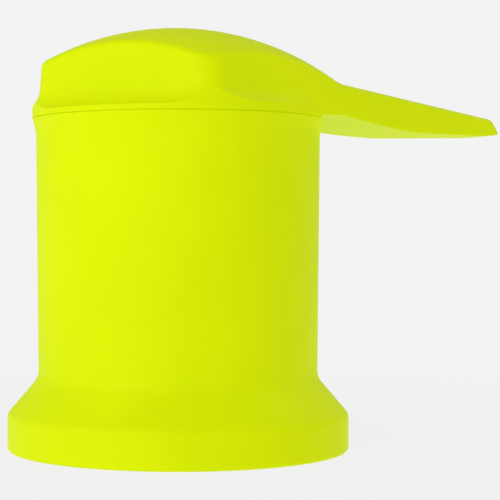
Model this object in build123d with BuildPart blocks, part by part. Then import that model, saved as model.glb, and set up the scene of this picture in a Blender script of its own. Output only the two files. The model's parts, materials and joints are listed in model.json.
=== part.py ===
"""Push-on dust cap for a hexagonal wheel nut, with a pointer that shows when the nut turns.

Three mouldings make one rigid cap. The sleeve covers the nut and its washer, a toothed grip
ring inside it bites on the nut's corners, and the domed pointer head closes the top. Keys
between the three make the pointer turn exactly as far as the nut does.

Millimetres, +Z up. The origin is on the cap's axis in the plane of its open mouth, and the
pointer points along +X.
"""

from build123d import *
import os
from math import atan2, cos, radians, sin, sqrt, tan

os.makedirs("parts", exist_ok=True)

# ---- The nut and the washer that the cap covers --------------------------------------------
NUT_ACROSS_FLATS = 32.0
GRIP_INTERFERENCE = 0.3  # how far a corner of the nut bites into the teeth
WASHER_PROUD_OF_NUT = 5.0  # how far the nut's washer stands out past its corners
WASHER_CLEARANCE = 0.9

# ---- Grip ring -----------------------------------------------------------------------------
RING_BASE_HEIGHT = 12.0  # from the mouth of the cap to the ring
RING_LENGTH = 18.0
RING_WALL = 1.15  # behind the grooves
TOOTH_COUNT = 36
TOOTH_DEPTH = 0.7
GROOVE_WIDTH = 1.5
RING_LEAD_IN = 0.6
RING_LEAD_IN_TAPER = 45.0  # degrees
RING_CLEARANCE = 0.05
KEY_COUNT = 4
KEY_WIDTH = 3.0
KEY_HEIGHT = 0.5
KEY_CLEARANCE = 0.1

# ---- Sleeve --------------------------------------------------------------------------------
SLEEVE_HEIGHT = 51.3
SLEEVE_WALL = 1.6
BARREL_GROWTH = 0.4  # how much wider the barrel is at its top than at its foot
COLLAR_STEP = 0.5  # how far the collar under the head stands out from the barrel
COLLAR_COVE_HEIGHT = 3.4
COLLAR_EDGE = 0.3
SKIRT_WALL = 2.1
SKIRT_BAND_HEIGHT = 5.6
SKIRT_FOOT_ROUND = 0.6
SKIRT_TOP_ROUND = 1.6
FLARE_HEIGHT = 5.6
FLARE_BLEND = 3.0
STOP_CLEARANCE = 0.45  # from the nut's corners to the rib that stops the ring
STOP_THICKNESS = 1.2
RETAINER_HEIGHT = 0.4
RETAINER_LENGTH = 1.0

# ---- Snap joint between head and sleeve ----------------------------------------------------
SPIGOT_LENGTH = 6.4
SPIGOT_WALL = 1.6
SPIGOT_CLEARANCE = 0.1
SNAP_HEIGHT = 0.4
SNAP_LENGTH = 1.2
SNAP_BELOW_SEAT = 4.6
SNAP_CLEARANCE = 0.1
HEAD_KEY_COUNT = 4
HEAD_KEY_WIDTH = 3.0
HEAD_KEY_PROUD = 1.0
HEAD_KEY_BELOW_SEAT = 1.0

# ---- Pointer head --------------------------------------------------------------------------
BRIM_OVERHANG = 0.1  # past the sleeve's collar
BRIM_HEIGHT = 0.8
BRIM_COVE = 3.5
DOME_RISE = 13.9  # from the seat on the sleeve to the top of the dome
DOME_BACK = 0.5  # how far the top of the dome lies behind the axis
DOME_CROWN = 6.7  # how much lower the dome's sphere is above the brim's edge than at its top
HEAD_WALL = 2.2
POINTER_DRAFT = 11.9  # degrees, on the two walls that run out to the pointer's tip
TAIL_DRAFT = 3.5  # degrees, on the two walls that meet behind
TAIL_PROUD = 1.3  # how far the sharp corner opposite the pointer stands out past the brim
SIDE_PROUD = 1.7  # how far the two side corners stand out past the brim
SIDE_CORNER_BACK = 1.2  # how far the side corners lie behind the axis
CORNER_ROUND = 4.5
POINTER_PROUD = 35.4  # from the brim to where the pointer's two walls would meet
POINTER_TIP_ROUND = 2.0
POINTER_TIP_THICKNESS = 2.4
POINTER_DROOP = 1.8  # how far the underside falls from the brim to the tip
POINTER_BELLY = 2.05  # how far it falls to its lowest stretch
POINTER_BELLY_PLACE = 14.3  # from the brim to where that stretch begins
POINTER_NOSE = 1.5  # how round the underside is below the tip
POINTER_TOP_SLOPE = 7.7  # degrees
POINTER_VALLEY = 2.0
HEAD_EDGE = 1.3
STEEPEST_TOP = 60.0  # degrees; a face of the head that slopes less belongs to its top

# ---- Sizes that follow from the ones above -------------------------------------------------
nut_corner_radius = NUT_ACROSS_FLATS / sqrt(3)
tooth_tip_radius = nut_corner_radius - GRIP_INTERFERENCE
ring_radius = tooth_tip_radius + TOOTH_DEPTH + RING_WALL
ring_top = RING_BASE_HEIGHT + RING_LENGTH

ring_seat_radius = ring_radius + RING_CLEARANCE
stop_radius = nut_corner_radius + STOP_CLEARANCE
barrel_foot_radius = ring_seat_radius + SLEEVE_WALL
barrel_top_radius = barrel_foot_radius + BARREL_GROWTH
collar_radius = barrel_top_radius + COLLAR_STEP
sleeve_bore_radius = barrel_top_radius - SLEEVE_WALL
skirt_bore_radius = nut_corner_radius + WASHER_PROUD_OF_NUT + WASHER_CLEARANCE
skirt_radius = skirt_bore_radius + SKIRT_WALL
barrel_foot = SKIRT_BAND_HEIGHT + FLARE_HEIGHT
barrel_top = SLEEVE_HEIGHT - COLLAR_COVE_HEIGHT
retainer_base = RING_BASE_HEIGHT - RETAINER_LENGTH

spigot_radius = sleeve_bore_radius - SPIGOT_CLEARANCE
spigot_bore_radius = spigot_radius - SPIGOT_WALL
spigot_base = SLEEVE_HEIGHT - SPIGOT_LENGTH
snap_height = SLEEVE_HEIGHT - SNAP_BELOW_SEAT
head_key_top = SLEEVE_HEIGHT - HEAD_KEY_BELOW_SEAT
finger_depth = sleeve_bore_radius - spigot_bore_radius + SNAP_HEIGHT

brim_radius = collar_radius + BRIM_OVERHANG
brim_top = SLEEVE_HEIGHT + BRIM_HEIGHT
dome_top = SLEEVE_HEIGHT + DOME_RISE
dome_radius = (brim_radius**2 + DOME_CROWN**2) / (2 * DOME_CROWN)
dome_centre = dome_top - dome_radius
pointer_point = brim_radius + POINTER_PROUD
belly_reach = brim_radius + POINTER_BELLY_PLACE
tail_reach = brim_radius + TAIL_PROUD
side_reach = brim_radius + SIDE_PROUD
plan_height = SLEEVE_HEIGHT - POINTER_BELLY  # the plan's corners are measured at this height
tip_half_angle = atan2(side_reach, pointer_point + SIDE_CORNER_BACK)
pointer_reach = pointer_point - POINTER_TIP_ROUND * (1 / sin(tip_half_angle) - 1)
tip_underside = SLEEVE_HEIGHT - POINTER_DROOP
nose_start = pointer_reach - POINTER_NOSE
nose_end = tip_underside + POINTER_NOSE
pointer_tip_top = tip_underside + POINTER_TIP_THICKNESS
arm_start = brim_radius / 3  # well inside the brim, where the dome hides the pointer's root
arm_start_top = pointer_tip_top + (pointer_reach - arm_start) * tan(radians(POINTER_TOP_SLOPE))
point_top = pointer_tip_top - (pointer_point - pointer_reach) * tan(radians(POINTER_TOP_SLOPE))
dome_reach = brim_radius + BRIM_COVE + CORNER_ROUND
dome_edge_height = dome_centre + sqrt(dome_radius**2 - dome_reach**2)
hollow_edge_height = dome_centre + sqrt((dome_radius - HEAD_WALL) ** 2 - spigot_bore_radius**2)

# The dome is turned about its own axis, a little behind the cap's. It starts and ends in a
# plane that is clear of the pointer and of every corner.
dome_axis = Axis((-DOME_BACK, 0, 0), (0, 0, 1))
seam_plane = Plane(origin=(-DOME_BACK, 0, 0), x_dir=(-1, 1, 0), z_dir=(1, 1, 0))


def ring_bump(base, length, height, radius):
    """Face of a small rounded rib on a cylinder of the given radius, to be revolved."""
    with BuildSketch(Plane.XZ) as bump:
        with BuildLine():
            ThreePointArc((radius, base), (radius + height, base + length / 2), (radius, base + length))
            Polyline((radius, base + length), (radius - height, base + length / 2), (radius, base))
        make_face()
    return bump.sketch


# ---- Grip ring: the teeth are what is left between grooves cut into its bore ---------------
with BuildPart() as grip_ring:
    with BuildSketch(Plane.XY.offset(RING_BASE_HEIGHT)):
        Circle(ring_radius)
        with PolarLocations(ring_radius, KEY_COUNT):
            Rectangle(2 * KEY_HEIGHT, KEY_WIDTH)
        Circle(tooth_tip_radius, mode=Mode.SUBTRACT)
        with PolarLocations(tooth_tip_radius, TOOTH_COUNT, start_angle=180 / TOOTH_COUNT):
            Polygon(
                (-TOOTH_DEPTH, -GROOVE_WIDTH),
                (TOOTH_DEPTH, 0),
                (-TOOTH_DEPTH, GROOVE_WIDTH),
                align=None,
                mode=Mode.SUBTRACT,
            )
    extrude(amount=RING_LENGTH)
    with BuildSketch(Plane.XY.offset(RING_BASE_HEIGHT)):
        Circle(tooth_tip_radius + RING_LEAD_IN)
    extrude(amount=RING_LEAD_IN, taper=RING_LEAD_IN_TAPER, mode=Mode.SUBTRACT)
grip_ring.part.label = "grip_ring"
export_step(grip_ring.part, "parts/grip_ring.step")


# ---- Sleeve: one turned profile, with the keyways and the head's keys ----------------------
with BuildPart() as sleeve:
    with BuildSketch(Plane.XZ) as section:
        with BuildLine():
            Polyline(
                (barrel_foot_radius, barrel_foot),
                (skirt_radius, SKIRT_BAND_HEIGHT),
                (skirt_radius, 0),
                (skirt_bore_radius, 0),
                (skirt_bore_radius, SKIRT_BAND_HEIGHT),
                (ring_seat_radius, retainer_base - RETAINER_LENGTH / 2),
                (ring_seat_radius, retainer_base),
                (ring_seat_radius - RETAINER_HEIGHT, retainer_base + RETAINER_LENGTH / 2),
                (ring_seat_radius, RING_BASE_HEIGHT),
                (ring_seat_radius, ring_top),
                (stop_radius, ring_top),
                (stop_radius, ring_top + STOP_THICKNESS),
                (sleeve_bore_radius, ring_top + STOP_THICKNESS + sleeve_bore_radius - stop_radius),
                (sleeve_bore_radius, SLEEVE_HEIGHT),
                (collar_radius - COLLAR_EDGE, SLEEVE_HEIGHT),
                (collar_radius, SLEEVE_HEIGHT - COLLAR_EDGE),
            )
            TangentArc(
                (barrel_top_radius, barrel_top),
                (collar_radius, SLEEVE_HEIGHT - COLLAR_EDGE),
                tangent=(BARREL_GROWTH, barrel_top - barrel_foot),
            )
            Line((barrel_top_radius, barrel_top), (barrel_foot_radius, barrel_foot))
        make_face()
        rounds = [
            ((barrel_foot_radius, barrel_foot), FLARE_BLEND),
            ((skirt_radius, SKIRT_BAND_HEIGHT), SKIRT_TOP_ROUND),
            ((skirt_radius, 0), SKIRT_FOOT_ROUND),
        ]
        for corner, radius in rounds:
            fillet(section.vertices().sort_by_distance(corner)[0], radius)
    revolve(axis=Axis.Z)
    # The groove that the head's snap bead clicks into.
    add(ring_bump(
        snap_height - SNAP_LENGTH / 2 - SNAP_CLEARANCE,
        SNAP_LENGTH + 2 * SNAP_CLEARANCE,
        SNAP_HEIGHT + SNAP_CLEARANCE,
        sleeve_bore_radius,
    ))
    revolve(axis=Axis.Z, mode=Mode.SUBTRACT)
    # Keyways for the grip ring, open below so that the ring can be pushed in.
    with BuildSketch(Plane.XY.offset(SKIRT_BAND_HEIGHT)):
        with PolarLocations(ring_seat_radius, KEY_COUNT):
            Rectangle(2 * (KEY_HEIGHT + KEY_CLEARANCE), KEY_WIDTH + 2 * KEY_CLEARANCE)
    extrude(amount=ring_top - SKIRT_BAND_HEIGHT, mode=Mode.SUBTRACT)
    # Keys that stand in the gaps between the head's spring fingers.
    with BuildSketch(Plane.XY.offset(spigot_base)):
        with PolarLocations(sleeve_bore_radius, HEAD_KEY_COUNT, start_angle=180 / HEAD_KEY_COUNT):
            Rectangle(2 * HEAD_KEY_PROUD, HEAD_KEY_WIDTH)
        Circle(sleeve_bore_radius, mode=Mode.INTERSECT)
    extrude(amount=head_key_top - spigot_base)
sleeve.part.label = "sleeve"
export_step(sleeve.part, "parts/sleeve.step")


# ---- Pointer head: a four-sided drafted block under a dome, on a round brim ---------------
def middle(edge):
    """The point half-way along an edge."""
    return edge @ 0.5


def head_block(inset=0.0):
    """The head's four drafted walls: two that run to the pointer and two that meet behind."""
    back = 2 * tail_reach  # well behind the two walls that are cut next
    back_half = side_reach * (pointer_point + back) / (pointer_point + SIDE_CORNER_BACK)
    with BuildPart() as solid:
        with BuildSketch(Plane.XY.offset(plan_height)):
            with BuildLine():
                Polyline((pointer_point, 0), (-back, back_half), (-back, -back_half), close=True)
            make_face()
            if inset:
                offset(amount=-inset, mode=Mode.REPLACE)
        extrude(amount=dome_top - plan_height, taper=POINTER_DRAFT)
        for side in (1, -1):
            along = Vector(tail_reach - SIDE_CORNER_BACK, side * side_reach, 0).normalized()
            outward = along.rotate(Axis.Z, side * 90)
            lean = outward.rotate(Axis((0, 0, 0), along), side * TAIL_DRAFT)
            corner = Vector(-tail_reach, 0, plan_height) - outward * inset
            split(bisect_by=Plane(corner, x_dir=along, z_dir=lean), keep=Keep.BOTTOM)
        upright = solid.edges().filter_by(Plane.XY, reverse=True)
        tail, tip_place = upright.sort_by(Axis.X)[0], middle(upright.sort_by(Axis.X)[-1])
        sides = [upright.sort_by(Axis.Y)[0], upright.sort_by(Axis.Y)[-1]]
        fillet([tail, *sides], CORNER_ROUND - inset)
        fillet(solid.edges().sort_by_distance(tip_place)[0], POINTER_TIP_ROUND)
    return solid.part


def is_valley(edge):
    """True for the edge where the dome runs down onto the pointer's top."""
    place = middle(edge)
    across = abs(place.Y) < POINTER_TIP_ROUND / 2
    return across and place.Z > pointer_tip_top and place.X > brim_radius


def faces_up(face):
    """True for a face that is more level than upright, with its outside on top."""
    return face.normal_at().Z > cos(radians(STEEPEST_TOP))


# The top surface: the dome all over, and the pointer's gentle slope where that is higher.
with BuildPart() as crown:
    with BuildSketch(seam_plane):
        with BuildLine():
            Line((0, plan_height), (0, dome_top))
            RadiusArc((0, dome_top), (dome_reach, dome_edge_height), dome_radius)
            Polyline((dome_reach, dome_edge_height), (dome_reach, plan_height), (0, plan_height))
        make_face()
    revolve(axis=dome_axis)
    with BuildSketch(Plane.XZ):
        with BuildLine():
            Polyline(
                (arm_start, plan_height),
                (arm_start, arm_start_top),
                (pointer_point, point_top),
                (pointer_point, plan_height),
                close=True,
            )
        make_face()
    extrude(amount=side_reach, both=True)

with BuildPart() as capped:
    add(head_block())
    add(crown.part, mode=Mode.INTERSECT)
    fillet(capped.edges().filter_by(GeomType.CIRCLE).filter_by(is_valley), POINTER_VALLEY)
    top_faces = capped.faces().filter_by(faces_up)
    top_edges = top_faces.edges().filter_by(lambda edge: not seam_plane.contains(middle(edge)))
    outline = [edge for edge in top_edges if sum(edge.is_same(other) for other in top_edges) == 1]
    fillet(outline, HEAD_EDGE)

with BuildPart() as arm:
    add(capped.part)
    split(bisect_by=Plane.YZ.offset(arm_start))

# What is scooped out of the head from below: the block and the dome again, one wall smaller.
with BuildPart() as hollow:
    add(head_block(HEAD_WALL))
    with BuildSketch(seam_plane):
        with BuildLine():
            Line((0, plan_height), (0, dome_top - HEAD_WALL))
            RadiusArc(
                (0, dome_top - HEAD_WALL),
                (spigot_bore_radius, hollow_edge_height),
                dome_radius - HEAD_WALL,
            )
            Polyline(
                (spigot_bore_radius, hollow_edge_height),
                (spigot_bore_radius, plan_height),
                (0, plan_height),
            )
        make_face()
    revolve(axis=dome_axis, mode=Mode.INTERSECT)
    with BuildSketch(Plane.XY.offset(spigot_base)):
        Circle(spigot_bore_radius)
    extrude(amount=SLEEVE_HEIGHT - spigot_base)

with BuildPart() as pointer_head:
    # The block on a wide plate, so that a cove runs all round its foot.
    add(capped.part)
    with BuildSketch(Plane.XY.offset(SLEEVE_HEIGHT)):
        Circle(pointer_point + BRIM_COVE)
    extrude(amount=BRIM_HEIGHT)
    plate_top = pointer_head.faces().filter_by(Plane.XY).sort_by(SortBy.AREA)[-2:].sort_by(Axis.Z)[-1]
    foot = plate_top.inner_wires()[0].edges()
    fillet(foot, BRIM_COVE)
    # Trimmed to the round brim, then the pointer is put back.
    with BuildSketch(Plane.XY.offset(SLEEVE_HEIGHT)):
        Circle(brim_radius)
    extrude(amount=DOME_RISE, mode=Mode.INTERSECT)
    add(arm.part)
    # The flat seat under the brim, and the pointer's underside, a shallow belly.
    with BuildSketch(Plane.XZ):
        with BuildLine():
            Line((-tail_reach, SLEEVE_HEIGHT), (brim_radius, SLEEVE_HEIGHT))
            ThreePointArc(
                (brim_radius, SLEEVE_HEIGHT),
                (belly_reach, plan_height),
                (nose_start, tip_underside),
            )
            RadiusArc((nose_start, tip_underside), (pointer_reach, nose_end), -POINTER_NOSE)
            Polyline(
                (pointer_reach, nose_end),
                (pointer_point, nose_end),
                (pointer_point, plan_height - POINTER_BELLY),
                (-tail_reach, plan_height - POINTER_BELLY),
                (-tail_reach, SLEEVE_HEIGHT),
            )
        make_face()
    extrude(amount=side_reach, both=True, mode=Mode.SUBTRACT)
    # The spigot that drops into the sleeve, with a snap bead round it.
    with BuildSketch(Plane.XY.offset(spigot_base)):
        Circle(spigot_radius)
    extrude(amount=SPIGOT_LENGTH)
    add(ring_bump(snap_height - SNAP_LENGTH / 2, SNAP_LENGTH, SNAP_HEIGHT, spigot_radius))
    revolve(axis=Axis.Z)
    # Hollow under the dome, with the same walls all round.
    add(hollow.part, mode=Mode.SUBTRACT)
    # Gaps that part the spigot into spring fingers and take the sleeve's keys.
    with BuildSketch(Plane.XY.offset(spigot_base)):
        with PolarLocations(sleeve_bore_radius, HEAD_KEY_COUNT, start_angle=180 / HEAD_KEY_COUNT):
            Rectangle(2 * finger_depth, HEAD_KEY_WIDTH + 2 * KEY_CLEARANCE)
    extrude(amount=head_key_top + KEY_CLEARANCE - spigot_base, mode=Mode.SUBTRACT)
pointer_head.part.label = "pointer_head"
export_step(pointer_head.part, "parts/pointer_head.step")
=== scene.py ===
# %% [markdown]
# A wheel nut indicator cap: a moulded plastic cap that is pushed over a truck's wheel nut. Its
# long pointer shows at a glance whether the nut has turned.
#
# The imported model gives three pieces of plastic: a sleeve, a toothed grip ring inside it, and a
# domed head with the pointer. All of them are one rigid cap, so they ride on one body. This
# lesson turns the sleeve and the ring with Geometry Nodes, dresses all three in a fluorescent
# plastic, and sets up a plain studio.

# %% Load the frame
import json
import math

import bpy
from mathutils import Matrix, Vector


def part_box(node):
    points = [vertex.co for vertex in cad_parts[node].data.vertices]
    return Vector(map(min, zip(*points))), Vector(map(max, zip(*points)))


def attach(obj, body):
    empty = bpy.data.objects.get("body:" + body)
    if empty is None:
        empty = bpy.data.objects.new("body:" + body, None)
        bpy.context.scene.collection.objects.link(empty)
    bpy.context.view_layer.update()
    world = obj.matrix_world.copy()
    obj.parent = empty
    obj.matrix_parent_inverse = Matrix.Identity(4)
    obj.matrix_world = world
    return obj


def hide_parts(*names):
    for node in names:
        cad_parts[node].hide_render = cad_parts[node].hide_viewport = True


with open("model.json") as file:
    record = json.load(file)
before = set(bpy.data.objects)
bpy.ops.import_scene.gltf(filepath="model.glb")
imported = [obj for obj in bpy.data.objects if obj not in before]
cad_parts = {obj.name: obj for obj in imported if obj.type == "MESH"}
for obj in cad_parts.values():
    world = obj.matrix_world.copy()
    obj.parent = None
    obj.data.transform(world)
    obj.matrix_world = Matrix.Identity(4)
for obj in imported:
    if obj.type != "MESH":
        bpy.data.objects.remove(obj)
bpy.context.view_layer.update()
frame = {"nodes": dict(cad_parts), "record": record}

MM = 0.001

# %% [markdown]
# The sizes that the pieces share come from the frame: the outside of each node, and the radii
# that the record states for the nut and its washer. The walls and steps that a box can't tell
# are the maker's own, and each is written once.

# %% Sizes that the frame gives
mounts = {mount["name"]: mount for mount in frame["record"]["mounts"]}
sleeve_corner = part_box("sleeve")[1]
ring_low, ring_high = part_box("grip_ring")
skirt_radius = sleeve_corner.x
sleeve_top = sleeve_corner.z
tooth_radius = mounts["nut_grip"]["dims"]["r_mm"] * MM
skirt_bore = mounts["skirt_bore"]["dims"]["r_mm"] * MM
for label, radius in (("skirt", skirt_radius), ("its bore", skirt_bore), ("teeth", tooth_radius)):
    print(label, "radius", round(radius / MM, 2), "mm")

# %% Sizes of the maker's own
KEY_COUNT = 4
KEY_WIDTH = 3.0 * MM
KEY_HEIGHT = 0.5 * MM
KEY_ROOM = 0.1 * MM
RING_ROOM = 0.05 * MM
SLEEVE_WALL = 1.6 * MM
BARREL_GROWTH = 0.4 * MM
COLLAR_STEP = 0.5 * MM
COLLAR_COVE = 3.1 * MM
COLLAR_EDGE = 0.3 * MM
BAND_HEIGHT = 5.6 * MM
BAND_FOOT_ROUND = 0.6 * MM
BAND_TOP_ROUND = 1.6 * MM
FLARE_HEIGHT = 5.6 * MM
FLARE_BLEND = 3.0 * MM
STOP_ROOM = 1.15 * MM
STOP_THICKNESS = 1.2 * MM
RETAINER = 0.4 * MM
RETAINER_LENGTH = 1.0 * MM
SNAP_BELOW_SEAT = 4.6 * MM
SNAP_DEPTH = 0.5 * MM
SNAP_HALF = 0.7 * MM
HEAD_KEY_PROUD = 1.0 * MM
HEAD_KEY_LOW = 6.4 * MM
HEAD_KEY_HIGH = 1.0 * MM
TOOTH_COUNT = 36
TOOTH_DEPTH = 0.7 * MM
GROOVE_WIDTH = 1.5 * MM
LEAD_IN = 0.6 * MM
MOULD_EDGE = 0.15 * MM

ring_radius = ring_high.x - KEY_HEIGHT
seat_radius = ring_radius + RING_ROOM
foot_radius = seat_radius + SLEEVE_WALL
neck_radius = foot_radius + BARREL_GROWTH
collar_radius = neck_radius + COLLAR_STEP
bore_radius = neck_radius - SLEEVE_WALL
stop_radius = seat_radius - STOP_ROOM
print("barrel", round(2 * foot_radius / MM, 2), "to", round(2 * neck_radius / MM, 2), "mm across")

# %% [markdown]
# The sleeve and the ring are turned shapes. Each starts as a section: a closed outline of
# radius and height, with a rounding at each corner, because a mould has no knife edges. A
# lathe could be a Screw modifier or a spin in mesh code. A node tree is used here, because the
# roundings, the number of turns and the tooth grooves then stay named inputs that can be
# changed after the fact.
#
# A long straight run next to a small rounding would pick up a false slope in its shading, so
# the section gets a support point just outside each rounding.

# %% The section of a turned piece
SUPPORT = 0.4 * MM
LONG_RUN = 3 * SUPPORT


def rounding_reach(before, corner, after, rounding):
    """How far a rounding reaches along the two runs that meet at its corner."""
    turn = (corner - before).angle(after - corner)
    return rounding * math.tan(turn / 2)


def with_supports(corners):
    """The corners of a closed outline, with a support point where a long run meets a rounding."""
    points = [Vector((radius, 0, height)) for radius, height, _ in corners]
    roundings = [rounding for _, _, rounding in corners]
    count = len(corners)
    reach = [
        rounding_reach(points[i - 1], points[i], points[(i + 1) % count], roundings[i])
        for i in range(count)
    ]
    outline = []
    for i, point in enumerate(points):
        following = points[(i + 1) % count]
        run = following - point
        outline.append((point, roundings[i]))
        if run.length > reach[i] + reach[(i + 1) % count] + LONG_RUN:
            along = run.normalized()
            outline.append((point + along * (reach[i] + SUPPORT), 0))
            outline.append((following - along * (reach[(i + 1) % count] + SUPPORT), 0))
    return outline


def section_object(name, corners):
    """A wire mesh of the outline, with each corner's rounding as a point attribute."""
    outline = with_supports(corners)
    mesh = bpy.data.meshes.new(name)
    count = len(outline)
    runs = [(i, (i + 1) % count) for i in range(count)]
    mesh.from_pydata([point for point, _ in outline], runs, [])
    roundings = mesh.attributes.new("rounding", "FLOAT", "POINT")
    roundings.data.foreach_set("value", [rounding for _, rounding in outline])
    piece = bpy.data.objects.new(name, mesh)
    bpy.context.scene.collection.objects.link(piece)
    return piece


# %% [markdown]
# Small helpers keep the trees readable. One makes a node and fills its sockets, one does sums,
# and one finds a place round the axis. The others begin a tree, end it and put it to use.

# %% Helpers for node trees
def put(tree, socket, value):
    """Links the socket to another socket, or gives it a plain value."""
    if isinstance(value, bpy.types.NodeSocket):
        tree.links.new(value, socket)
    else:
        socket.default_value = value


def add_node(tree, kind, inputs=None, **settings):
    """A new node with its settings and inputs; inputs are named or numbered sockets."""
    node = tree.nodes.new(kind)
    for setting, value in settings.items():
        setattr(node, setting, value)
    for key, value in (inputs or {}).items():
        put(tree, node.inputs[key], value)
    return node


def sums(tree, operation, first, second=0.0):
    """The result of one arithmetic step."""
    return add_node(tree, "ShaderNodeMath", {0: first, 1: second}, operation=operation).outputs[0]


def around(tree, angle, radius):
    """The X and Y of a place at the given angle and radius."""
    return (
        sums(tree, "MULTIPLY", radius, sums(tree, "COSINE", angle)),
        sums(tree, "MULTIPLY", radius, sums(tree, "SINE", angle)),
    )


def new_tree(name, inputs):
    """An empty tree with a geometry input and output and the named inputs."""
    tree = bpy.data.node_groups.new(name, "GeometryNodeTree")
    tree.interface.new_socket("Shape", in_out="INPUT", socket_type="NodeSocketGeometry")
    for label, kind in inputs.items():
        tree.interface.new_socket(label, in_out="INPUT", socket_type="NodeSocket" + kind)
    tree.interface.new_socket("Shape", in_out="OUTPUT", socket_type="NodeSocketGeometry")
    return tree, tree.nodes.new("NodeGroupInput").outputs, tree.nodes.new("NodeGroupOutput").inputs


def end_tree(tree, shape, given, result):
    """Gives the tree's shape its finish and sends it out."""
    dressing = {0: shape, "Material": given["Finish"]}
    finished = add_node(tree, "GeometryNodeSetMaterial", dressing)
    tree.links.new(finished.outputs[0], result[0])
    return tree


def use_tree(piece, tree, values):
    """Puts the tree on a piece, with its inputs set by their identifiers."""
    modifier = piece.modifiers.new(tree.name, "NODES")
    for label, value in values.items():
        modifier[tree.interface.items_tree[label].identifier] = value
    modifier.node_group = tree
    return modifier


# %% [markdown]
# The turning tree walks round the section's points and round the axis at once. A grid has one
# row for each point of the section and one column for each step of the turn. Its points are
# then rolled up: the row gives radius and height, the column gives the angle. Where the
# section lies inside the tooth grooves, the groove's own radius wins, which cuts the grooves
# as a broach would. Merging the doubled seams leaves a closed solid.

# %% The turning tree
SEAM_GAP = 0.002 * MM


def turning_tree():
    tree, given, result = new_tree(
        "turned_piece",
        {
            "Rounding steps": "Int",
            "Turn steps": "Int",
            "Groove count": "Int",
            "Groove bottom": "Float",
            "Groove depth": "Float",
            "Groove width": "Float",
            "Finish": "Material",
        },
    )
    named = {"Name": "rounding"}
    rounding = add_node(tree, "GeometryNodeInputNamedAttribute", named, data_type="FLOAT")
    outline = add_node(tree, "GeometryNodeMeshToCurve", {"Mesh": given["Shape"]})
    rounded = add_node(tree, "GeometryNodeFilletCurve", {"Curve": outline.outputs[0]})
    put(tree, rounded.inputs["Radius"], rounding.outputs[0])
    put(tree, rounded.inputs["Limit Radius"], True)
    if "Mode" in rounded.inputs:
        put(tree, rounded.inputs["Mode"], "Poly")
    else:
        rounded.mode = "POLY"
    put(tree, rounded.inputs["Count"], given["Rounding steps"])
    curve = {"Curve": rounded.outputs[0]}
    stations = add_node(tree, "GeometryNodeCurveToPoints", curve, mode="EVALUATED").outputs[0]
    size = add_node(tree, "GeometryNodeAttributeDomainSize", {0: stations}, component="POINTCLOUD")
    count = size.outputs["Point Count"]

    rows = sums(tree, "ADD", count, 1)
    columns = sums(tree, "ADD", given["Turn steps"], 1)
    grid = add_node(tree, "GeometryNodeMeshGrid", {"Vertices X": rows, "Vertices Y": columns})
    index = add_node(tree, "GeometryNodeInputIndex").outputs[0]
    row = sums(tree, "FLOOR", sums(tree, "DIVIDE", sums(tree, "ADD", index, 0.5), columns))
    column = sums(tree, "SUBTRACT", index, sums(tree, "MULTIPLY", row, columns))
    share = sums(tree, "DIVIDE", column, given["Turn steps"])
    place = add_node(tree, "GeometryNodeInputPosition").outputs[0]
    station = add_node(tree, "GeometryNodeSampleIndex", {0: stations}, data_type="FLOAT_VECTOR")
    put(tree, station.inputs["Value"], place)
    put(tree, station.inputs["Index"], sums(tree, "FLOORED_MODULO", row, count))
    apart = add_node(tree, "ShaderNodeSeparateXYZ", {0: station.outputs[0]}).outputs

    # Distance from the nearest groove's middle, as a length along the teeth.
    pitches = sums(tree, "MULTIPLY", share, given["Groove count"])
    off_middle = sums(tree, "ABSOLUTE", sums(tree, "SUBTRACT", sums(tree, "FRACT", pitches), 0.5))
    girth = sums(tree, "MULTIPLY", given["Groove bottom"], math.tau)
    pitch = sums(tree, "DIVIDE", girth, sums(tree, "MAXIMUM", given["Groove count"], 1))
    slope = sums(tree, "DIVIDE", sums(tree, "MULTIPLY", off_middle, pitch), given["Groove width"])
    rise = sums(tree, "MULTIPLY", slope, sums(tree, "MULTIPLY", given["Groove depth"], 2))
    groove = sums(tree, "SUBTRACT", given["Groove bottom"], rise)
    radius = sums(tree, "MAXIMUM", apart["X"], groove)

    across, along = around(tree, sums(tree, "MULTIPLY", share, math.tau), radius)
    rolled = add_node(tree, "ShaderNodeCombineXYZ", {"X": across, "Y": along, "Z": apart["Z"]})
    turned = add_node(tree, "GeometryNodeSetPosition", {0: grid.outputs[0]})
    put(tree, turned.inputs["Position"], rolled.outputs[0])
    closed = add_node(tree, "GeometryNodeMergeByDistance", {0: turned.outputs[0]})
    put(tree, closed.inputs["Distance"], SEAM_GAP)
    return end_tree(tree, closed.outputs[0], given, result)


# %% [markdown]
# Keys stop one moulding from turning inside another. The second tree sets a row of bars round
# the axis, one for each key, and either joins them to the piece or cuts them out of it.

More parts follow.
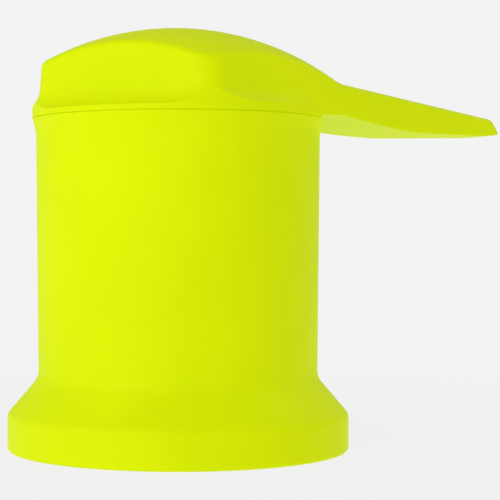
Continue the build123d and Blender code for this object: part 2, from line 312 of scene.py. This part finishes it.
# %% The key tree
def key_tree():
    tree, given, result = new_tree(
        "keys_round_the_axis",
        {
            "Count": "Int",
            "Bar": "Vector",
            "Radius": "Float",
            "Height": "Float",
            "First angle": "Float",
            "Cut": "Bool",
            "Finish": "Material",
        },
    )
    bar = add_node(tree, "GeometryNodeMeshCube", {"Size": given["Bar"]})
    spots = add_node(tree, "GeometryNodeMeshLine", {"Count": given["Count"]}, mode="OFFSET")
    index = add_node(tree, "GeometryNodeInputIndex").outputs[0]
    step = sums(tree, "DIVIDE", math.tau, given["Count"])
    angle = sums(tree, "ADD", sums(tree, "MULTIPLY", index, step), given["First angle"])
    across, along = around(tree, angle, given["Radius"])
    place = add_node(tree, "ShaderNodeCombineXYZ", {"X": across, "Y": along, "Z": given["Height"]})
    ring = add_node(tree, "GeometryNodeSetPosition", {0: spots.outputs[0]})
    put(tree, ring.inputs["Position"], place.outputs[0])
    turn = add_node(tree, "ShaderNodeCombineXYZ", {"Z": angle})
    bars = add_node(tree, "GeometryNodeInstanceOnPoints", {"Points": ring.outputs[0]})
    put(tree, bars.inputs["Instance"], bar.outputs["Mesh"])
    put(tree, bars.inputs["Rotation"], turn.outputs[0])
    real = add_node(tree, "GeometryNodeRealizeInstances", {0: bars.outputs[0]}).outputs[0]
    joined = add_node(tree, "GeometryNodeMeshBoolean", operation="UNION", solver="EXACT")
    put(tree, joined.inputs["Mesh 2"], given["Shape"])
    put(tree, joined.inputs["Mesh 2"], real)
    cut = add_node(tree, "GeometryNodeMeshBoolean", operation="DIFFERENCE", solver="EXACT")
    put(tree, cut.inputs["Mesh 1"], given["Shape"])
    put(tree, cut.inputs["Mesh 2"], real)
    chosen = add_node(tree, "GeometryNodeSwitch", input_type="GEOMETRY")
    put(tree, chosen.inputs["Switch"], given["Cut"])
    put(tree, chosen.inputs["False"], joined.outputs["Mesh"])
    put(tree, chosen.inputs["True"], cut.outputs["Mesh"])
    return end_tree(tree, chosen.outputs[0], given, result)


# %% [markdown]
# The plastic is polyethylene with a fluorescent dye, which turns blue light into yellow-green.
# The shader adds a painted glow, a small emission of its own, so the cap looks brighter than its
# surroundings and its shadows stay full of colour whatever the lamps do. Under it lies a strong
# base colour with no blue in it. A little light passes under the skin and softens the edges.
#
# Up close the skin isn't flat: the mould was spark-eroded to a fine grain, the melt cooled in
# slow waves, and the colour is a shade uneven where the pigment flowed. Three noises at three
# scales make these, all on Object coordinates, so they stay put in the plastic.

# %% The fluorescent plastic, with a painted glow
DYE = (0.66, 0.80, 0.0, 1)
DYE_THIN = (0.71, 0.84, 0.0, 1)
PAINTED_GLOW_COLOUR = (0.80, 1.0, 0.0, 1)
PAINTED_GLOW_STRENGTH = 0.10
GRAIN_SIZE = 0.35 * MM
GRAIN_DEPTH = 0.02 * MM
GRAIN_STRENGTH = 0.3
GRAIN_DETAIL = 3
WAVE_SIZE = 7 * MM
WAVE_DEPTH = 0.1 * MM
WAVE_STRENGTH = 0.25
WAVE_DETAIL = 1
CLOUD_SIZE = 22 * MM
CLOUD_DETAIL = 4
NOISE_ROUGHNESS = 0.55
NOISE_LOW, NOISE_HIGH = 0.3, 0.7  # a noise value is seldom outside these
SKIN_SMOOTH, SKIN_ROUGH = 0.46, 0.58
GLOSS = 0.04
SKIN_LIGHT = 0.2  # the share of light that passes under the skin
SKIN_LIGHT_REACH = 1.2 * MM
SKIN_LIGHT_TINT = (1.0, 1.0, 0.15)
# Painted shade: the head's and the ring's copies of the plastic are made darker.
HEAD_PAINTED_SHADE = 0.98
RING_PAINTED_SHADE = 0.95


def noise(tree, place, size, detail):
    """Noise whose patches are about the given size."""
    inputs = {"Vector": place, "Scale": 1 / size, "Detail": detail}
    inputs["Roughness"] = NOISE_ROUGHNESS
    return add_node(tree, "ShaderNodeTexNoise", inputs).outputs[0]


def between(tree, factor, low, high):
    """A value that runs from low to high as the factor runs over the noise's usual range."""
    inputs = {"Value": factor, "To Min": low, "To Max": high}
    inputs |= {"From Min": NOISE_LOW, "From Max": NOISE_HIGH}
    return add_node(tree, "ShaderNodeMapRange", inputs).outputs[0]


def plastic_with_painted_glow(name, painted_shade=1.0):
    material = bpy.data.materials.new(name)
    material.use_nodes = True
    tree = material.node_tree
    shader = tree.nodes["Principled BSDF"]
    place = add_node(tree, "ShaderNodeTexCoord").outputs["Object"]
    grain = noise(tree, place, GRAIN_SIZE, GRAIN_DETAIL)
    waves = noise(tree, place, WAVE_SIZE, WAVE_DETAIL)
    clouds = noise(tree, place, CLOUD_SIZE, CLOUD_DETAIL)
    cloudy = {"Factor": between(tree, clouds, 0, 1)}
    colour = add_node(tree, "ShaderNodeMix", cloudy, data_type="RGBA")
    # A darker copy has its base colour scaled down by its painted shade.
    put(tree, colour.inputs["A"], tuple(painted_shade * part for part in DYE[:3]) + (1,))
    put(tree, colour.inputs["B"], tuple(painted_shade * part for part in DYE_THIN[:3]) + (1,))
    put(tree, shader.inputs["Base Color"], colour.outputs["Result"])
    put(tree, shader.inputs["Roughness"], between(tree, grain, SKIN_SMOOTH, SKIN_ROUGH))
    low = add_node(tree, "ShaderNodeBump", {"Height": waves, "Distance": WAVE_DEPTH})
    low.inputs["Strength"].default_value = WAVE_STRENGTH
    fine = add_node(tree, "ShaderNodeBump", {"Height": grain, "Distance": GRAIN_DEPTH})
    fine.inputs["Strength"].default_value = GRAIN_STRENGTH
    put(tree, fine.inputs["Normal"], low.outputs[0])
    put(tree, shader.inputs["Normal"], fine.outputs[0])
    shader.inputs["Specular IOR Level"].default_value = GLOSS
    shader.inputs["Subsurface Weight"].default_value = SKIN_LIGHT
    shader.inputs["Subsurface Radius"].default_value = SKIN_LIGHT_TINT
    shader.inputs["Subsurface Scale"].default_value = SKIN_LIGHT_REACH
    # Painted glow: a steady emission that lights the plastic whatever the lamps do and fills its
    # shadows.
    shader.inputs["Emission Color"].default_value = PAINTED_GLOW_COLOUR
    shader.inputs["Emission Strength"].default_value = PAINTED_GLOW_STRENGTH
    material.diffuse_color = DYE
    return material


sleeve_finish = plastic_with_painted_glow("sleeve_plastic_moulded")
head_finish = plastic_with_painted_glow("head_plastic_moulded", HEAD_PAINTED_SHADE)
ring_finish = plastic_with_painted_glow("grip_plastic_moulded", RING_PAINTED_SHADE)

# %% [markdown]
# A turned piece is baked to a plain mesh: the tree is evaluated, its result is copied, and the
# modifier goes. Faces that meet at a real edge are then shaded apart, and the rest smoothly.

# %% Baking a piece
EDGE_ANGLE = math.radians(34)


def bake(piece, name):
    """A plain mesh object in place of the piece and its node trees."""
    bpy.context.view_layer.update()
    evaluated = piece.evaluated_get(bpy.context.evaluated_depsgraph_get())
    mesh = bpy.data.meshes.new_from_object(evaluated)
    bpy.data.objects.remove(piece)
    mesh.name = name
    if "rounding" in mesh.attributes:
        mesh.attributes.remove(mesh.attributes["rounding"])
    mesh.shade_smooth()
    mesh.set_sharp_from_angle(angle=EDGE_ANGLE)
    plain = bpy.data.objects.new(name, mesh)
    bpy.context.scene.collection.objects.link(plain)
    print(name, len(mesh.vertices), "points", len(mesh.polygons), "faces")
    return plain


def settle(piece, node):
    """The finished piece stands for a node of the frame and rides on the cap's one body."""
    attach(piece, "root")
    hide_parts(node)


# %% [markdown]
# The sleeve is the barrel that everyone sees. From the foot up it has an upright band, a flare
# over the nut's washer, the long plain barrel that widens a hair towards its top, and a small
# coved collar under the head. Inside are the seat for the grip ring, with the rib that stops
# it and the bead that holds it, and the groove that the head snaps into.

# %% The sleeve
SLEEVE_TURN_STEPS = 240
SLEEVE_ROUNDING_STEPS = 8
cove_radius = (COLLAR_COVE**2 + COLLAR_STEP**2) / (2 * COLLAR_STEP)
cove_angle = math.asin(COLLAR_COVE / cove_radius)
cove_foot = sleeve_top - COLLAR_EDGE - COLLAR_COVE
cove_corner = cove_foot + cove_radius * math.tan(cove_angle / 2)
flare_top = BAND_HEIGHT + FLARE_HEIGHT
snap_height = sleeve_top - SNAP_BELOW_SEAT
stop_top = ring_high.z + STOP_THICKNESS
retainer_low = ring_low.z - RETAINER_LENGTH
sleeve_section = [
    (foot_radius, flare_top, FLARE_BLEND),
    (skirt_radius, BAND_HEIGHT, BAND_TOP_ROUND),
    (skirt_radius, 0, BAND_FOOT_ROUND),
    (skirt_bore, 0, MOULD_EDGE),
    (skirt_bore, BAND_HEIGHT, 2 * MOULD_EDGE),
    (seat_radius, retainer_low - RETAINER_LENGTH / 2, MOULD_EDGE),
    (seat_radius, retainer_low, 0),
    (seat_radius - RETAINER, retainer_low + RETAINER_LENGTH / 2, MOULD_EDGE),
    (seat_radius, ring_low.z, 0),
    (seat_radius, ring_high.z, 0),
    (stop_radius, ring_high.z, MOULD_EDGE),
    (stop_radius, stop_top, MOULD_EDGE),
    (bore_radius, stop_top + bore_radius - stop_radius, MOULD_EDGE),
    (bore_radius, snap_height - SNAP_HALF, 0),
    (bore_radius + SNAP_DEPTH, snap_height, 2 * MOULD_EDGE),
    (bore_radius, snap_height + SNAP_HALF, 0),
    (bore_radius, sleeve_top, MOULD_EDGE),
    (collar_radius, sleeve_top, COLLAR_EDGE),
    (collar_radius, sleeve_top - COLLAR_EDGE, 0),
    (neck_radius, cove_corner, cove_radius),
]
turning = turning_tree()
keys = key_tree()
sleeve_wire = section_object("sleeve_section", sleeve_section)
use_tree(sleeve_wire, turning, {
    "Rounding steps": SLEEVE_ROUNDING_STEPS,
    "Turn steps": SLEEVE_TURN_STEPS,
    "Finish": sleeve_finish,
})
keyway_length = ring_high.z - BAND_HEIGHT
use_tree(sleeve_wire, keys, {
    "Count": KEY_COUNT,
    "Bar": (2 * (KEY_HEIGHT + KEY_ROOM), KEY_WIDTH + 2 * KEY_ROOM, keyway_length),
    "Radius": seat_radius,
    "Height": BAND_HEIGHT + keyway_length / 2,
    "Cut": True,
    "Finish": sleeve_finish,
})
head_key_length = HEAD_KEY_LOW - HEAD_KEY_HIGH
use_tree(sleeve_wire, keys, {
    "Count": KEY_COUNT,
    "Bar": (2 * HEAD_KEY_PROUD, KEY_WIDTH, head_key_length),
    "Radius": bore_radius,
    "Height": sleeve_top - HEAD_KEY_HIGH - head_key_length / 2,
    "First angle": math.pi / KEY_COUNT,
    "Cut": False,
    "Finish": sleeve_finish,
})
sleeve = bake(sleeve_wire, "sleeve_turned")
settle(sleeve, "sleeve")

# %% [markdown]
# The grip ring bites on the nut's six corners. Its bore has fine grooves all round, so that
# the cap can be pushed on at almost any angle and the pointer aimed where it should. The same
# tree turns it, now with grooves, and four keys are joined to its outside.

# %% The grip ring
RING_STEPS_PER_TOOTH = 12
RING_ROUNDING_STEPS = 4
ring_section = [
    (ring_radius, ring_high.z, MOULD_EDGE),
    (ring_radius, ring_low.z, MOULD_EDGE),
    (tooth_radius + LEAD_IN, ring_low.z, 0),
    (tooth_radius, ring_low.z + LEAD_IN, 0),
    (tooth_radius, ring_high.z, 0),
]
ring_wire = section_object("ring_section", ring_section)
use_tree(ring_wire, turning, {
    "Rounding steps": RING_ROUNDING_STEPS,
    "Turn steps": TOOTH_COUNT * RING_STEPS_PER_TOOTH,
    "Groove count": TOOTH_COUNT,
    "Groove bottom": tooth_radius + TOOTH_DEPTH,
    "Groove depth": TOOTH_DEPTH,
    "Groove width": GROOVE_WIDTH,
    "Finish": ring_finish,
})
ring_length = ring_high.z - ring_low.z
use_tree(ring_wire, keys, {
    "Count": KEY_COUNT,
    "Bar": (2 * KEY_HEIGHT, KEY_WIDTH, ring_length),
    "Radius": ring_radius,
    "Height": ring_low.z + ring_length / 2,
    "Cut": False,
    "Finish": ring_finish,
})
grip_ring = bake(ring_wire, "grip_ring_toothed")
settle(grip_ring, "grip_ring")

# %% [markdown]
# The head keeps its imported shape, which already carries the real roundings, and takes the
# moulded plastic in place of its flat colour.

# %% The pointer head
head = frame["nodes"]["pointer_head"]
head.material_slots[0].material = head_finish

# %% [markdown]
# The camera stands close, about 26 cm away and level with the middle of the cap, a little to
# the left of square, so the pointer runs off to the right and away. It looks level, which keeps
# the upright edges upright.

# %% The camera
CAMERA_AZIMUTH = math.radians(-15.7)
CAMERA_DISTANCE = 259 * MM
CAMERA_HEIGHT = 34 * MM
CAMERA_LENS = 119.5
CAMERA_SHIFT = (0.144, -0.04)
CAMERA_CLIP = 10 * MM
camera_data = bpy.data.cameras.new("camera")
camera = bpy.data.objects.new("camera", camera_data)
bpy.context.scene.collection.objects.link(camera)
bpy.context.scene.camera = camera
camera.location = (
    CAMERA_DISTANCE * math.sin(CAMERA_AZIMUTH),
    -CAMERA_DISTANCE * math.cos(CAMERA_AZIMUTH),
    CAMERA_HEIGHT,
)
camera.rotation_euler = (math.pi / 2, 0, CAMERA_AZIMUTH)
camera_data.lens = CAMERA_LENS
camera_data.shift_x, camera_data.shift_y = CAMERA_SHIFT
camera_data.clip_start = CAMERA_CLIP

# %% [markdown]
# The studio is a pale floor under a white sky that is dimmer overhead. The floor runs out into
# the sky's own tone about 20 cm from the cap, so no horizon shows. It lies a hair below the
# cap, because two surfaces in one plane flicker, and it is clear from beneath, so that the
# mouth can be looked into. Three soft lights model the shape: the key from the left front, a
# weak one low on the left for the barrel's edge, and one high behind on the right that picks
# out the flared foot and the top of the dome.

# %% The studio
SKY = 0.896
SKY_LOW = 0.61
SKY_OVERHEAD = 0.34
FLOOR_RADIUS = 3.0
FLOOR_SIDES = 96
FLOOR_TOP = -0.02 * MM
FLOOR_FADE_START = 0.03
FLOOR_FADE_END = 0.22
FLOOR_GLOW = 0.93
PAPER = 0.86
LIGHT_DISTANCE = 0.5
LIGHTS = {  # azimuth and elevation in degrees, size in metres, power in watts
    "key_light": (-52, 30, 0.3, 0.85),
    "side_light": (-92, 5, 0.3, 0.17),
    "far_light": (105, 40, 0.25, 0.28),
}


def studio_sky():
    world = bpy.data.worlds.new("studio_sky")
    world.use_nodes = True
    bpy.context.scene.world = world
    tree = world.node_tree
    background = tree.nodes["Background"]
    direction = add_node(tree, "ShaderNodeTexCoord").outputs["Generated"]
    upward = add_node(tree, "ShaderNodeSeparateXYZ", {0: direction}).outputs["Z"]
    heights = {"Value": upward, "To Min": SKY_LOW, "To Max": SKY_OVERHEAD}
    dome = add_node(tree, "ShaderNodeMapRange", heights).outputs[0]
    seen = add_node(tree, "ShaderNodeLightPath").outputs["Is Camera Ray"]
    levels = {"Factor": seen, "A": dome, "B": SKY}
    level = add_node(tree, "ShaderNodeMix", levels, data_type="FLOAT")
    background.inputs["Color"].default_value = (1, 1, 1, 1)
    put(tree, background.inputs["Strength"], level.outputs[0])


def floor_finish():
    material = bpy.data.materials.new("floor_paper")
    material.use_nodes = True
    tree = material.node_tree
    tree.nodes.remove(tree.nodes["Principled BSDF"])
    place = add_node(tree, "ShaderNodeTexCoord").outputs["Object"]
    reach = add_node(tree, "ShaderNodeVectorMath", {0: place}, operation="LENGTH").outputs["Value"]
    limits = {"Value": reach, "From Min": FLOOR_FADE_START, "From Max": FLOOR_FADE_END}
    limits["To Min"] = FLOOR_GLOW
    fade = add_node(tree, "ShaderNodeMapRange", limits, interpolation_type="SMOOTHSTEP").outputs[0]
    paper = add_node(tree, "ShaderNodeBsdfDiffuse", {"Color": (PAPER, PAPER, PAPER, 1)}).outputs[0]
    sky = add_node(tree, "ShaderNodeEmission", {"Color": (SKY, SKY, SKY, 1)}).outputs[0]
    above = add_node(tree, "ShaderNodeMixShader", {0: fade, 1: paper, 2: sky}).outputs[0]
    below = add_node(tree, "ShaderNodeNewGeometry").outputs["Backfacing"]
    clear = add_node(tree, "ShaderNodeBsdfTransparent").outputs[0]
    mixed = add_node(tree, "ShaderNodeMixShader", {0: below, 1: above, 2: clear})
    tree.links.new(mixed.outputs[0], tree.nodes["Material Output"].inputs["Surface"])
    return material


def studio_floor():
    mesh = bpy.data.meshes.new("floor")
    turns = [math.tau * step / FLOOR_SIDES for step in range(FLOOR_SIDES)]
    rim = [Vector((math.cos(turn), math.sin(turn), 0)) * FLOOR_RADIUS for turn in turns]
    rim = [point + Vector((0, 0, FLOOR_TOP)) for point in rim]
    mesh.from_pydata(rim, [], [list(range(FLOOR_SIDES))])
    mesh.materials.append(floor_finish())
    floor = bpy.data.objects.new("floor", mesh)
    bpy.context.scene.collection.objects.link(floor)


def soft_light(name, azimuth, elevation, size, power):
    """A square soft light aimed at the middle of the cap."""
    data = bpy.data.lights.new(name, "AREA")
    data.size = size
    data.energy = power
    light = bpy.data.objects.new(name, data)
    bpy.context.scene.collection.objects.link(light)
    away = Vector((
        math.sin(azimuth) * math.cos(elevation),
        -math.cos(azimuth) * math.cos(elevation),
        math.sin(elevation),
    ))
    light.location = away * LIGHT_DISTANCE + Vector((0, 0, sleeve_top / 2))
    light.rotation_euler = away.to_track_quat("Z", "Y").to_euler()


studio_sky()
studio_floor()
for name, (azimuth, elevation, size, power) in LIGHTS.items():
    soft_light(name, math.radians(azimuth), math.radians(elevation), size, power)
    print(name, "at", azimuth, "degrees round and", elevation, "up,", power, "W")
bpy.context.scene.view_settings.view_transform = "Standard"
